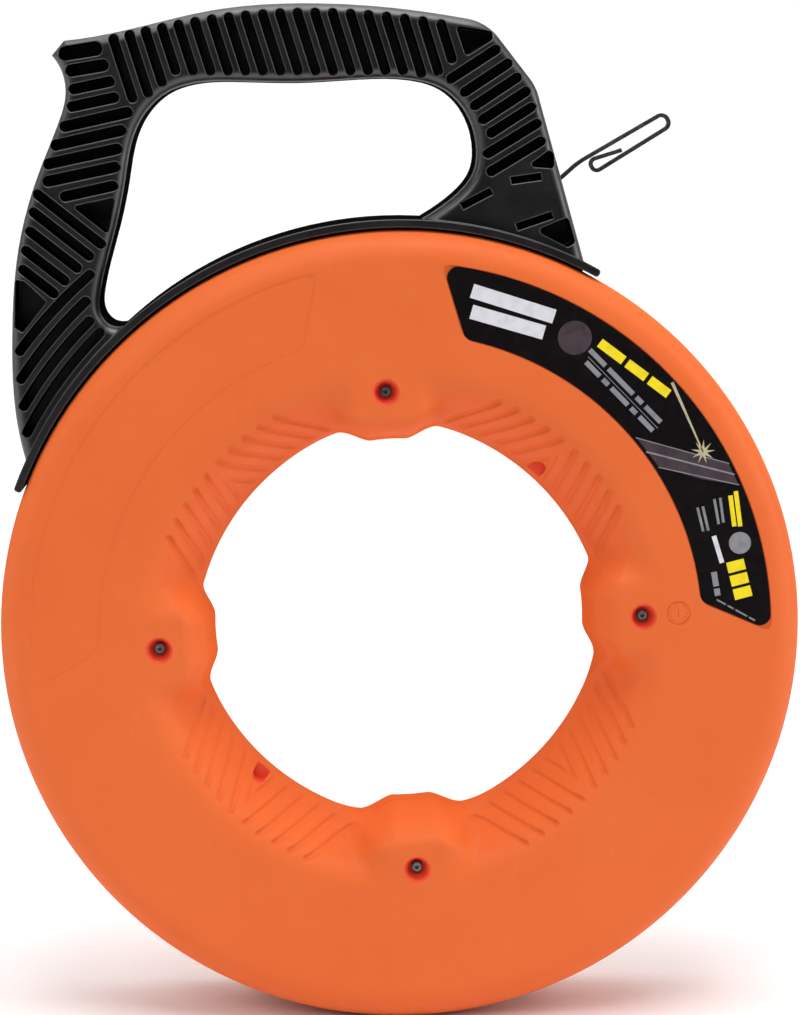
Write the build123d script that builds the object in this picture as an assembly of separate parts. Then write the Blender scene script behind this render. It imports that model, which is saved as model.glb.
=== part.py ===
from build123d import *
import math
import os

# A 12 in fish tape reel: two case halves screwed together around a coil of flat steel tape,
# and a handle whose shoe and T-rail ride in the rim slot of the case. Millimetres and degrees.
# Sketches are drawn about the reel's axis: x to the right, z up, and y negative at the front.
# The finished parts stand on z = 0, so the reel's axis is REEL_R above the origin.

# ------------------------------------------------------------------------ driving dimensions
REEL_R = 152.5            # outside radius of the case, a 12 in reel
HALF_W = 31.0             # half of the case's thickness
WALL = 2.5                # case wall
RIM_CORNER = 11.5         # round from the face to the rim
SLOT_HALF = 2.0           # half of the rim slot's width

TILT = 3.7                # how far the four lobes are turned from the axes
LOBE_R = 72.0             # inner edge of the opening at a lobe, in the parting plane
LOBE_HALF = 7.5           # half angle of a lobe's inner edge
SCALLOP_R = 77.4          # inner edge of the opening beside a lobe
SCALLOP_MID_R = 75.9      # and in the middle between two lobes
SCALLOP_HALF = 32.0       # half angle of a scallop, from its own middle
LAND_HALF = 3.5           # half width of the land inside the opening
GRIP_R = 94.5             # where the sloped grip meets the face
GRIP_ROUND = 9.0          # round between the grip slope and the face
GRIP_HALF = 30.0          # half angle of one sloped grip
LOBE_TOP_HALF = 14.5      # half width of a lobe at the face
LOBE_FOOT_HALF = 23.0     # and at the foot of the grip slope
LOBE_CROWN = 11.0         # how far a lobe's inner edge curves back on its way to the face
GRIP_SKIN = 3.3           # wall behind the grip slope
OPENING_ROUND = 5.0       # round between a lobe's edge and a scallop

GROOVES = 5               # full grooves on each side of a chevron
GROOVE_START = 3.4        # from the chevron's middle line to the first full groove
GROOVE_APEX_R = 88.4      # where the two shorter grooves inside them meet
GROOVE_LENGTH = 26.0      # long enough to run out of the slope
GROOVE_PITCH = 6.2
GROOVE_W = 2.1
GROOVE_DEPTH = 1.1
GROOVE_ANGLE = 23.5       # between a groove and the chevron's middle line
GROOVE_OUTER_R = 95.2

SCREW_R = 92.0            # pitch radius of the four case screws
SCREW_ANGLES = {"right": TILT, "top": TILT + 90, "left": TILT + 180, "bottom": TILT + 270}
BOSS_R = 6.2
RECESS_MOUTH_R = 4.2
RECESS_FLOOR_R = 2.7
RECESS_DEPTH = 6.6
HEAD_R = 2.25
HEAD_H = 2.4
SHANK_R = 1.4
SHANK_HOLE_R = 1.5
SCREW_REACH = 20.0        # how far a screw runs past the parting plane
SPIGOT_R = 3.4
SPIGOT_H = 1.5
SOCKET_CLEARANCE = 0.15

LABEL_IN_R = 114.3
LABEL_OUT_R = 140.4
LABEL_FROM = 0.2          # outer arc's ends, in degrees
LABEL_TO = 83.8
LABEL_SLANT = 5.8         # how much shorter the inner arc is at each end
LABEL_CORNER = 4.0
LABEL_T = 0.45
LABEL_SUNK = 0.1          # how far the film lies below the face
RECESS_GAP = 0.35         # plain border between a label and its recess
PANEL_FROM = 103.0        # shallow panel opposite the label
PANEL_TO = 188.6
PANEL_DEPTH = 0.3
NOTCH_ANGLES = (48.5, 227.4)  # two half-round notches in the foot of the grip slope
NOTCH_R = 3.0
NOTCH_FLOOR = 2.6         # depth of the notch's floor
NOTCH_WALL = 1.6          # plastic left round a notch

HANDLE_HALF = 19.0
HANDLE_ROUND = 4.2
WEB_HALF = 2.0            # half of the web between front and rear pockets
SLOT_W = 3.8
SHOE_IN_R = 153.2
SHOE_OUT_R = 156.2
SHOE_HALF = 24.5
SHOE_FROM = 61.2
SHOE_TO = 159.6
RAIL_HEAD_HALF = 6.0
RAIL_HEAD_IN_R = 147.3
RAIL_HEAD_OUT_R = 149.4
RAIL_NECK_HALF = 1.4
RAILS = ((62.6, 78.0), (98.5, 157.8))
HOLD_DOWN_R = 152.3       # the rib over the tape between the two rails

TAPE_W = 3.2              # 1/8 in wide
TAPE_T = 1.5              # 0.060 in thick
COIL_OUT_R = 146.4
COIL_IN_R = 133.6
COIL_HALF = 20.0
COIL_COLUMNS = 12
FEED_START_R = 147.7      # the feed lies just outside the coil where it leaves it
FEED_START = 96.0
EXIT_POINT = (61.6, 171.0)
EXIT_ANGLE = 42.0
EXIT_STRAIGHT = 14.5
CHANNEL_T = 2.7
CHANNEL_HALF = 2.2
GUIDE_HALF = 15.4
FIT_GAP = 0.15
LEADER_GAP = 0.4          # between the feed's end and the leader's

PIN_R = 2.5
PIN_ANGLE = 215.0
PIN_CIRCLE_R = 124.5
PIN_HALF = 26.0

BAR_POCKETS = 20          # leaning pockets along the handle's top bar
BAR_LEAN = 17.5

# Pockets of the handle's left arm: middle, overall length, tilt, width
LEFT_POCKETS = (
    ((-119.2, 218.4), 16.6, 9.1, 5.4),
    ((-116.8, 212.2), 16.4, 9.6, 4.6),
    ((-115.2, 205.8), 17.6, 11.9, 4.0),
    ((-114.8, 199.6), 20.0, 12.0, 4.0),
    ((-113.8, 193.2), 28.0, 12.6, 4.2),
    ((-116.8, 186.4), 29.2, 12.6, 4.2),
    ((-119.0, 179.5), 30.4, 12.2, 4.2),
    ((-119.5, 172.9), 29.6, 12.0, 4.2),
    ((-116.8, 166.6), 22.2, 12.4, 4.0),
    ((-124.3, 156.2), 33.6, -38.4, 3.9),
    ((-127.3, 150.6), 30.0, -38.4, 3.9),
    ((-130.3, 144.8), 25.8, -38.2, 3.9),
    ((-133.5, 138.8), 22.0, -38.0, 3.9),
    ((-136.2, 132.9), 18.2, -38.0, 3.9),
)
# Pockets that follow the rim: radius of the middle line, first and last angle
RIM_POCKETS = (
    (178.9, 130.2, 144.0),
    (172.6, 132.8, 146.8),
    (166.4, 134.2, 149.6),
    (160.5, 134.3, 152.5),
)
# Pockets of the right arm: their two ends
RIGHT_POCKETS = (
    ((17.2, 207.3), (36.9, 220.0)),
    ((22.4, 202.4), (41.4, 214.9)),
    ((26.2, 197.4), (44.9, 209.7)),
    ((29.2, 192.2), (48.2, 204.5)),
    ((32.2, 187.2), (50.3, 198.8)),
    ((31.1, 179.6), (52.4, 192.6)),
    ((32.3, 172.9), (54.0, 186.0)),
)
# Pockets in the corners: the corner points and their round
CORNER_POCKETS = (
    (((20.2, 228.0), (34.4, 225.8), (34.2, 222.6), (24.2, 216.4)), 1.3),
    (((47.0, 175.6), (55.6, 181.9), (57.7, 180.4), (57.6, 174.9)), 1.2),
    (((50.6, 151.7), (62.9, 156.9), (65.9, 147.0), (62.9, 145.4)), 1.4),
    (((-123.2, 160.9), (-107.2, 164.4), (-110.0, 150.4)), 0.9),
    (((-145.0, 133.6), (-141.4, 133.0), (-133.2, 125.2), (-142.4, 113.6), (-145.4, 115.2)), 0.9),
)
# Windows in the nose that the guide's tabs snap into: middle, length, tilt
SNAP_WINDOWS = (((47.1, 171.2), 11.6, 8.0), ((28.4, 163.7), 12.6, 27.5), ((50.3, 155.3), 14.2, 18.6))
SNAP_WIDTH = 2.8
TAB_DEPTH = 5.0           # how far the tabs end below the handle's face
GUIDE_SIDE = (
    (22.0, 157.6), (21.4, 161.6), (36.5, 169.4), (41.0, 171.8),
    (55.5, 173.4), (59.4, 160.4), (43.8, 153.0), (33.0, 154.2),
)
# The leader outside the nose: corners of its middle line, measured along and across the hook
HOOK_TURN = 30.0
HOOK_ORIGIN = (73.9, 180.2)
HOOK_CORNERS = ((31.0, 0.0), (31.2, 5.5), (-2.9, 6.5), (-2.9, 1.3), (10.2, 4.25))
HOOK_ROUNDS = (30.0, 2.6, 2.6, 2.1, 2.1)


# ------------------------------------------------------------------------ helpers
def polar(radius, angle):
    """A point on the drawing plane, from the reel's axis."""
    return (radius * math.cos(math.radians(angle)), radius * math.sin(math.radians(angle)))


def arc(radius, start, end):
    """An arc about the reel's axis."""
    return ThreePointArc(polar(radius, start), polar(radius, (start + end) / 2), polar(radius, end))


def slab(sketch, near, far):
    """A flat sketch made solid from depth near to depth far, where front depths are positive."""
    plane = Plane.XZ.offset(near)
    return extrude(plane * sketch, amount=far - near)


def both_ways(sketch, half):
    return slab(sketch, -half, half)


def spun(points, start=0.0, sweep=360.0):
    """A section of (radius, depth) points turned about the reel's axis from one angle on."""
    section = make_face(Polyline(*[(r, -d) for r, d in points], close=True))
    return turned(section, start, sweep)


def turned(section, start=0.0, sweep=360.0):
    body = revolve(section, Axis.Y, sweep)
    return Rot(0, -start - sweep, 0) * body


def sector(inner, outer, start, end):
    """A flat piece of a ring."""
    edges = [
        arc(outer, start, end),
        Line(polar(outer, end), polar(inner, end)),
        arc(inner, end, start),
        Line(polar(inner, start), polar(outer, start)),
    ]
    return make_face(edges)


def slot(center, length, tilt, width=SLOT_W):
    """A round-ended slot of this overall length."""
    return Pos(*center) * Rot(0, 0, tilt) * SlotOverall(length, width)


def lifted(part):
    """From the reel's axis to the ground under the reel."""
    return Pos(0, 0, REEL_R) * part


# ------------------------------------------------------------------------ case halves
def opening_outline():
    """The lobed hand opening through the middle of the case."""
    edges = []
    for turn in range(4):
        lobe = TILT + 90 * turn
        middle = lobe + 45
        start = polar(LOBE_R, lobe + LOBE_HALF)
        ramp_end = polar(SCALLOP_R, middle - SCALLOP_HALF)
        far_end = polar(SCALLOP_R, middle + SCALLOP_HALF)
        edges.append(arc(LOBE_R, lobe - LOBE_HALF, lobe + LOBE_HALF))
        edges.append(Line(start, ramp_end))
        edges.append(ThreePointArc(ramp_end, polar(SCALLOP_MID_R, middle), far_end))
        edges.append(Line(far_end, polar(LOBE_R, lobe + 90 - LOBE_HALF)))
    outline = make_face(edges)
    return fillet(outline.vertices(), OPENING_ROUND)


def grip_slope_points():
    """The slope's foot at the land and its tip where it would meet the face."""
    return (SCALLOP_R, LAND_HALF), (GRIP_R, HALF_W)


def grip_cut():
    """What the sloped grips take off the corner between the face and the opening."""
    foot, tip = grip_slope_points()
    slope = math.atan2(tip[1] - foot[1], tip[0] - foot[0])
    back = GRIP_ROUND * math.tan(slope / 2)
    line_end = (tip[0] - back * math.cos(slope), tip[1] - back * math.sin(slope))
    face_end = (tip[0] + back, tip[1])
    halfway = math.pi / 2 + slope / 2
    round_middle = (
        face_end[0] + GRIP_ROUND * math.cos(halfway),
        face_end[1] - GRIP_ROUND + GRIP_ROUND * math.sin(halfway),
    )
    bottom, top, hole = -foot[1], -HALF_W - 2, foot[0] - 12
    ring = turned(make_face([
        Line((hole, bottom), (foot[0], bottom)),
        Line((foot[0], bottom), (line_end[0], -line_end[1])),
        ThreePointArc(
            (line_end[0], -line_end[1]),
            (round_middle[0], -round_middle[1]),
            (face_end[0], -face_end[1]),
        ),
        Line((face_end[0], -face_end[1]), (face_end[0], top)),
        Line((face_end[0], top), (hole, top)),
        Line((hole, top), (hole, bottom)),
    ]))
    for angle in SCREW_ANGLES.values():
        ring -= lobe_block(angle)
    return ring


def lobe_block(angle):
    """What stays standing round a screw: narrower at the face than at its foot."""
    base = Pos(SCREW_R, 0) * Rectangle(60, 2 * LOBE_FOOT_HALF)
    rise = HALF_W - LAND_HALF
    lean = math.degrees(math.atan2(LOBE_FOOT_HALF - LOBE_TOP_HALF, rise))
    block = extrude(Plane.XZ.offset(LAND_HALF) * base, amount=rise + 3, taper=lean)
    return Rot(0, -angle, 0) * block


def lobe_crown():
    """The quarter ellipse from a lobe's inner edge out to the face."""
    back, past = LOBE_R - 6, -HALF_W - 2
    crown = EllipticalCenterArc((LOBE_R + LOBE_CROWN, 0), LOBE_CROWN, HALF_W, 180, arc_size=90)
    section = make_face([
        crown,
        Line((LOBE_R + LOBE_CROWN, -HALF_W), (LOBE_R + LOBE_CROWN, past)),
        Line((LOBE_R + LOBE_CROWN, past), (back, past)),
        Line((back, past), (back, 0)),
        Line((back, 0), (LOBE_R, 0)),
    ])
    return turned(section)


def groove_starts():
    """Outer ends of the grooves on one side, along and across the chevron's middle line."""
    places = [(GROOVE_APEX_R, 0.0)]
    for number in range(GROOVES):
        across = GROOVE_START + GROOVE_PITCH * number / math.cos(math.radians(GROOVE_ANGLE))
        places.append((math.sqrt(GROOVE_OUTER_R ** 2 - across ** 2), across))
    return places


def grip_grooves(middle):
    """The chevron grooves of one grip, as cutters as deep as the grooves."""
    foot, tip = grip_slope_points()
    slope = math.atan2(tip[1] - foot[1], tip[0] - foot[0])
    inward = (math.sin(slope) * GROOVE_DEPTH, -math.cos(slope) * GROOVE_DEPTH)
    low = (foot[0] + 2.0, foot[1] + 3.0)
    high = (GROOVE_OUTER_R, HALF_W + 1)
    band = spun([
        (low[0] - 3, low[1]),
        (low[0] + inward[0], low[1] + inward[1]),
        (high[0] + inward[0], high[1] + inward[1]),
        (high[0] - 3, high[1] + 3),
    ], middle - GRIP_HALF + 1.5, 2 * GRIP_HALF - 3)
    slots = []
    lean = math.radians(GROOVE_ANGLE)
    for out, across in groove_starts():
        for side in (-1, 1):
            center_out = out - GROOVE_LENGTH / 2 * math.cos(lean)
            center_across = across + GROOVE_LENGTH / 2 * math.sin(lean)
            tilt = 180 - side * GROOVE_ANGLE
            slots.append(slot((center_out, side * center_across), GROOVE_LENGTH, tilt, GROOVE_W))
    flat = Sketch() + [Rot(0, 0, middle) * s for s in slots]
    return slab(flat, LAND_HALF, HALF_W + 1) & band


def label_outline(grow=0.0, start=LABEL_FROM, end=LABEL_TO):
    """The label's shape, or its recess when it is grown a little."""
    turn = math.degrees(grow / LABEL_IN_R)
    inner, outer = LABEL_IN_R - grow, LABEL_OUT_R + grow
    first, last = start - turn, end + turn
    edges = [
        arc(outer, first, last),
        Line(polar(outer, last), polar(inner, last - LABEL_SLANT)),
        arc(inner, last - LABEL_SLANT, first + LABEL_SLANT),
        Line(polar(inner, first + LABEL_SLANT), polar(outer, first)),
    ]
    return fillet(make_face(edges).vertices(), LABEL_CORNER)


def case_half(front):
    """One moulded half, drawn as the front one. The rear one is the same, turned over."""
    corner = HALF_W - RIM_CORNER
    knee = RIM_CORNER * math.sqrt(0.5)
    outer = [
        Line((60, 0), (REEL_R, 0)),
        Line((REEL_R, 0), (REEL_R, -corner)),
        ThreePointArc(
            (REEL_R, -corner),
            (REEL_R - RIM_CORNER + knee, -corner - knee),
            (REEL_R - RIM_CORNER, -HALF_W),
        ),
        Line((REEL_R - RIM_CORNER, -HALF_W), (60, -HALF_W)),
        Line((60, -HALF_W), (60, 0)),
    ]
    body = turned(make_face(outer))
    body -= slab(opening_outline(), -1, HALF_W + 1)

    foot, tip = grip_slope_points()
    slope = math.atan2(tip[1] - foot[1], tip[0] - foot[0])
    skin = (math.sin(slope) * GRIP_SKIN, -math.cos(slope) * GRIP_SKIN)
    inner_r = REEL_R - WALL
    roof = HALF_W - WALL
    inner_knee = (RIM_CORNER - WALL) * math.sqrt(0.5)
    slope_top = foot[0] + skin[0] + (roof - foot[1] - skin[1]) / math.tan(slope)
    chamber = [
        Line((foot[0] + WALL, 1), (inner_r, 1)),
        Line((inner_r, 1), (inner_r, -corner)),
        ThreePointArc(
            (inner_r, -corner),
            (REEL_R - RIM_CORNER + inner_knee, -corner - inner_knee),
            (REEL_R - RIM_CORNER, -roof),
        ),
        Line((REEL_R - RIM_CORNER, -roof), (slope_top, -roof)),
        Line((slope_top, -roof), (foot[0] + WALL, -foot[1] - skin[1] + 0.6)),
        Line((foot[0] + WALL, -foot[1] - skin[1] + 0.6), (foot[0] + WALL, 1)),
    ]
    chamber = turned(make_face(chamber))
    for angle in SCREW_ANGLES.values():
        chamber -= slab(Pos(*polar(SCREW_R, angle)) * Circle(BOSS_R), -2, HALF_W)
    for angle in NOTCH_ANGLES:
        chamber -= notch(angle, NOTCH_WALL)
    pin_at = polar(PIN_CIRCLE_R, PIN_ANGLE if front else 2 * TILT - PIN_ANGLE)
    chamber -= slab(Pos(*pin_at) * Circle(PIN_R + 2.2), PIN_HALF - 4.5, HALF_W)
    body -= chamber
    rim_slot = [(inner_r - 1, -1), (inner_r - 1, SLOT_HALF), (REEL_R + 1, SLOT_HALF), (REEL_R + 1, -1)]
    body -= spun(rim_slot)
    body -= slab(Pos(*pin_at) * Circle(PIN_R), PIN_HALF - 6, PIN_HALF)

    body -= grip_cut()
    body -= lobe_crown()
    for turn in range(4):
        body -= grip_grooves(TILT + 45 + 90 * turn)
    for angle in NOTCH_ANGLES:
        body -= notch(angle)
    for angle in SCREW_ANGLES.values():
        if front:
            body = front_boss(body, angle)
        else:
            body = rear_boss(body, 2 * TILT - angle)
    body -= slab(label_outline(RECESS_GAP), HALF_W - LABEL_T - LABEL_SUNK, HALF_W + 1)
    body -= slab(label_outline(0, PANEL_FROM, PANEL_TO), HALF_W - PANEL_DEPTH, HALF_W + 1)
    return body


def notch(angle, wall=0.0):
    """A small half-round notch in the foot of the grip slope, or the block of plastic round it."""
    radius = NOTCH_R + wall
    middle = polar(SCALLOP_R + 1.3, angle)
    shape = Pos(*middle) * Rot(0, 0, angle) * SlotOverall(2 * radius + 3, 2 * radius)
    return slab(shape, NOTCH_FLOOR - wall, HALF_W)


def turned_at(at, points):
    """A section of (radius, depth) points turned about an axis along Y through this place."""
    section = make_face(Polyline(*[(r, -d) for r, d in points], close=True))
    return Pos(at[0], 0, at[1]) * revolve(section, Axis.Y, 360)


def front_boss(body, angle):
    """A screw's recess, its seat and its clearance hole, with a spigot at the parting plane."""
    at = polar(SCREW_R, angle)
    floor = HALF_W - RECESS_DEPTH
    body -= turned_at(at, [
        (0, HALF_W + 1),
        (RECESS_MOUTH_R + 0.9, HALF_W + 1),
        (RECESS_MOUTH_R + 0.9, HALF_W),
        (RECESS_MOUTH_R, HALF_W - 0.9),
        (RECESS_FLOOR_R, floor),
        (0, floor),
    ])
    body += slab(Pos(*at) * Circle(SPIGOT_R), -SPIGOT_H, 1)
    return body - slab(Pos(*at) * Circle(SHANK_HOLE_R), -SPIGOT_H - 1, HALF_W)


def rear_boss(body, angle):
    """A blind hole that a screw's thread fills, under a socket for the other half's spigot."""
    at = Pos(*polar(SCREW_R, angle))
    body -= slab(at * Circle(SPIGOT_R + SOCKET_CLEARANCE), -1, SPIGOT_H + SOCKET_CLEARANCE)
    return body - slab(at * Circle(SHANK_R), -1, SCREW_REACH + 1.5)


def turned_over(part):
    """A front piece as its twin on the rear, turned over about the line through two screws."""
    return Rot(0, -TILT, 0) * (Rot(180, 0, 0) * (Rot(0, TILT, 0) * part))


# ------------------------------------------------------------------------ screws, labels, anchor
def case_screw(angle):
    """A long screw with a small round head and a hexagon socket."""
    at = polar(SCREW_R, angle)
    floor = HALF_W - RECESS_DEPTH
    screw = turned_at(at, [
        (0, -SCREW_REACH),
        (SHANK_R * 0.45, -SCREW_REACH),
        (SHANK_R, -SCREW_REACH + 1.6),
        (SHANK_R, floor),
        (HEAD_R, floor),
        (HEAD_R, floor + HEAD_H - 0.5),
        (HEAD_R - 0.5, floor + HEAD_H),
        (0, floor + HEAD_H),
    ])
    socket = Pos(*at) * RegularPolygon(0.85, 6)
    return screw - slab(socket, floor + HEAD_H - 1.4, floor + HEAD_H + 1)


def label():
    return slab(label_outline(), HALF_W - LABEL_T - LABEL_SUNK, HALF_W - LABEL_SUNK)


def tape_coil():
    """The wound tape as one ring whose surface shows its columns of turns."""
    column = 2 * COIL_HALF / COIL_COLUMNS
    groove = 0.5
    outside = []
    inside = []
    for number in range(COIL_COLUMNS):
        left = -COIL_HALF + column * number
        outside += [(COIL_OUT_R - groove, left), (COIL_OUT_R, left + groove)]
        outside += [(COIL_OUT_R, left + column - groove)]
        inside += [(COIL_IN_R + groove, left), (COIL_IN_R, left + groove)]
        inside += [(COIL_IN_R, left + column - groove)]
    outside.append((COIL_OUT_R - groove, COIL_HALF))
    inside.append((COIL_IN_R + groove, COIL_HALF))
    return spun(outside + inside[::-1])


def anchor_pin():
    """The steel pin between the two halves that holds the tape's inner end."""
    at = Pos(*polar(PIN_CIRCLE_R, PIN_ANGLE))
    return chamfer(both_ways(at * Circle(PIN_R), PIN_HALF).edges(), 0.3)


def tape_anchor():
    """A folded steel clip round the pin, whose tail lies against the inside of the coil."""
    ring = Pos(*polar(PIN_CIRCLE_R, PIN_ANGLE)) * (Circle(PIN_R + 1.6) - Circle(PIN_R + 0.1))
    tail = sector(COIL_IN_R - 1.5, COIL_IN_R - 0.02, PIN_ANGLE - 9, PIN_ANGLE + 0.8)
    neck = sector(PIN_CIRCLE_R + PIN_R + 1.0, COIL_IN_R - 0.5, PIN_ANGLE - 0.3, PIN_ANGLE + 0.8)
    return both_ways(ring + tail + neck, 5.0)


# ------------------------------------------------------------------------ handle
def handle_outline():
    """The side view of the handle's body, down into its shoe."""
    foot, nose_foot = (-141.5, 61.7), (69.3, 140.2)
    sunk = SHOE_IN_R + 0.8
    end_angle = math.degrees(math.atan2(nose_foot[1], nose_foot[0]))
    start_angle = math.degrees(math.atan2(foot[1], foot[0]))
    edges = [
        Spline(
            foot, (-146.3, 86.0), (-146.8, 112.0), (-143.4, 147.5), (-135.5, 174.0),
            (-128.0, 192.3), (-125.3, 203.0), (-126.6, 211.0), (-130.2, 216.8),
        ),
        Line((-130.2, 216.8), (-125.6, 222.3)),
        Spline(
            (-125.6, 222.3), (-99.2, 227.0), (-70.8, 233.5),
            (-37.6, 236.2), (0.4, 234.2), (26.0, 230.4),
        ),
        ThreePointArc((26.0, 230.4), (32.4, 227.6), (37.2, 223.0)),
        Line((37.2, 223.0), (48.6, 208.4)),
        ThreePointArc((48.6, 208.4), (50.9, 204.6), (52.3, 200.3)),
        Line((52.3, 200.3), nose_foot),
        Line(nose_foot, polar(sunk, end_angle)),
        arc(sunk, end_angle, start_angle),
        Line(polar(sunk, start_angle), foot),
    ]
    outline = make_face(edges)
    return outline


def hand_outline():
    """The opening for the hand, from the shoe round and back to the shoe, and down past it."""
    first, last = 129.2, 87.2
    below = SHOE_IN_R - 4
    loop = Spline(
        polar(SHOE_OUT_R, first), (-104.3, 116.0), (-109.6, 116.3), (-113.2, 120.4), (-113.4, 128.5),
        (-108.1, 149.5), (-103.6, 169.4), (-99.7, 187.8), (-94.6, 196.8), (-87.0, 203.3),
        (-77.5, 206.5), (-60.0, 207.3), (-38.0, 207.0), (-14.8, 208.3), (4.0, 208.0),
        (16.0, 204.3), (24.4, 195.6), (28.2, 184.0), (27.2, 173.6), (22.4, 166.8),
        polar(SHOE_OUT_R, last),
    )
    return make_face([
        loop,
        Line(polar(SHOE_OUT_R, last), polar(below, last)),
        arc(below, last, first),
        Line(polar(below, first), polar(SHOE_OUT_R, first)),
    ])


def bar_pocket_ends(number):
    """The top and bottom of one leaning pocket of the top bar."""
    top_x = -107.5 + 5.95 * number + 0.0247 * number ** 2
    away = abs(top_x + 34.0)
    top_z = 234.2 - 0.0019 * away ** 2 + 0.0000018 * away ** 3
    bottom_z = 209.6
    if number < 3:
        bottom_z = (199.4, 201.4, 205.4)[number]
    if number > 16:
        bottom_z = (208.6, 209.4, 213.9)[number - 17]
    return top_x, top_z, bottom_z


def handle_pockets():
    """The cored pockets of one side, as flat shapes."""
    shapes = []
    lean = BAR_LEAN
    for number in range(BAR_POCKETS):
        top_x, top_z, bottom_z = bar_pocket_ends(number)
        height = top_z - bottom_z
        center = (top_x + height / 2 * math.tan(math.radians(lean)), (top_z + bottom_z) / 2)
        shapes.append(slot(center, height / math.cos(math.radians(lean)), 90 + lean))
    for center, length, tilt, width in LEFT_POCKETS:
        shapes.append(slot(center, length, tilt, width))
    for start, end in RIGHT_POCKETS:
        center = ((start[0] + end[0]) / 2, (start[1] + end[1]) / 2)
        tilt = math.degrees(math.atan2(end[1] - start[1], end[0] - start[0]))
        shapes.append(slot(center, math.dist(start, end), tilt))
    for radius, start, end in RIM_POCKETS:
        inset = math.degrees(SLOT_W / 2 / radius)
        shapes.append(SlotArc(arc(radius, start + inset, end - inset).edge(), SLOT_W))
    for points, corner in CORNER_POCKETS:
        outline = make_face(Polyline(*points, close=True))
        shapes.append(fillet(outline.vertices(), corner))
    return shapes


def snap_windows(grow=0.0):
    """The three windows in the nose, or the guide's tabs when they shrink a little."""
    shapes = []
    for center, length, tilt in SNAP_WINDOWS:
        bar = Rectangle(length + 2 * grow, SNAP_WIDTH + 2 * grow)
        shapes.append(Pos(*center) * Rot(0, 0, tilt) * bar)
    return shapes


def tape_route():
    """The tape's middle line in the handle: along the coil's tangent, round a bend, out of the nose."""
    start = polar(FEED_START_R, FEED_START)
    heading = FEED_START - 90
    turn = EXIT_ANGLE - heading
    straight = polar(EXIT_STRAIGHT, EXIT_ANGLE)
    bend_end = (EXIT_POINT[0] - straight[0], EXIT_POINT[1] - straight[1])
    across = (bend_end[0] - start[0], bend_end[1] - start[1])
    forward, upward = polar(1, heading), polar(1, heading + 90)
    rise = across[0] * upward[0] + across[1] * upward[1]
    run = across[0] * forward[0] + across[1] * forward[1]
    radius = rise / (1 - math.cos(math.radians(turn)))
    straight_run = run - radius * math.sin(math.radians(turn))
    bend_start = (start[0] + straight_run * forward[0], start[1] + straight_run * forward[1])
    chord = polar(2 * radius * math.sin(math.radians(turn / 4)), heading + turn / 4)
    bend_middle = (bend_start[0] + chord[0], bend_start[1] + chord[1])
    return start, bend_start, bend_middle, bend_end


def tape_feed():
    """The tape's stretch from the coil to the straight channel in the nose."""
    start, bend_start, bend_middle, bend_end = tape_route()
    route = [Line(start, bend_start), ThreePointArc(bend_start, bend_middle, bend_end)]
    return both_ways(trace(route, TAPE_T), TAPE_W / 2)


def tape_channel():
    """The space that the tape runs through in the guide, the shoe and the nose."""
    start, bend_start, bend_middle, bend_end = tape_route()
    out = polar(EXIT_STRAIGHT + 6, EXIT_ANGLE)
    route = [
        Line((start[0] + 12, start[1] + 12 * math.tan(math.radians(FEED_START - 90))), bend_start),
        ThreePointArc(bend_start, bend_middle, bend_end),
        Line(bend_end, (bend_end[0] + out[0], bend_end[1] + out[1])),
    ]
    return both_ways(trace(route, CHANNEL_T), CHANNEL_HALF)


def tape_leader():
    """The tape's free end: a short straight in the nose, a gentle set, and a folded hook."""
    bend_end = tape_route()[3]
    inset = polar(LEADER_GAP, EXIT_ANGLE)
    first = (bend_end[0] + inset[0], bend_end[1] + inset[1])
    along, across = polar(1, HOOK_TURN), polar(1, HOOK_TURN - 90)
    corners = []
    for u, n in HOOK_CORNERS:
        corners.append((
            HOOK_ORIGIN[0] + u * along[0] + n * across[0],
            HOOK_ORIGIN[1] + u * along[1] + n * across[1],
        ))
    set_corner = meeting_point(first, EXIT_ANGLE, HOOK_ORIGIN, HOOK_TURN)
    line = FilletPolyline(first, set_corner, *corners, radius=HOOK_ROUNDS)
    return both_ways(trace(line, TAPE_T), TAPE_W / 2)


def meeting_point(one, one_angle, other, other_angle):
    """Where two lines meet, each given by a point and its direction."""
    a, b = polar(1, one_angle), polar(1, other_angle)
    gap = (other[0] - one[0], other[1] - one[1])
    step = (gap[0] * b[1] - gap[1] * b[0]) / (a[0] * b[1] - a[1] * b[0])
    return (one[0] + step * a[0], one[1] + step * a[1])


def guide_prism(grow=0.0):
    side = make_face(Polyline(*GUIDE_SIDE, close=True))
    if grow:
        side = offset(side, grow, kind=Kind.INTERSECTION)
    return side


def nose_guide():
    """The insert that steers the tape, with six tabs in the nose's windows."""
    guide = both_ways(guide_prism(), GUIDE_HALF)
    tabs = Sketch() + snap_windows(-FIT_GAP)
    guide += both_ways(tabs, HANDLE_HALF - TAB_DEPTH)
    return guide - tape_channel()


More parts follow.
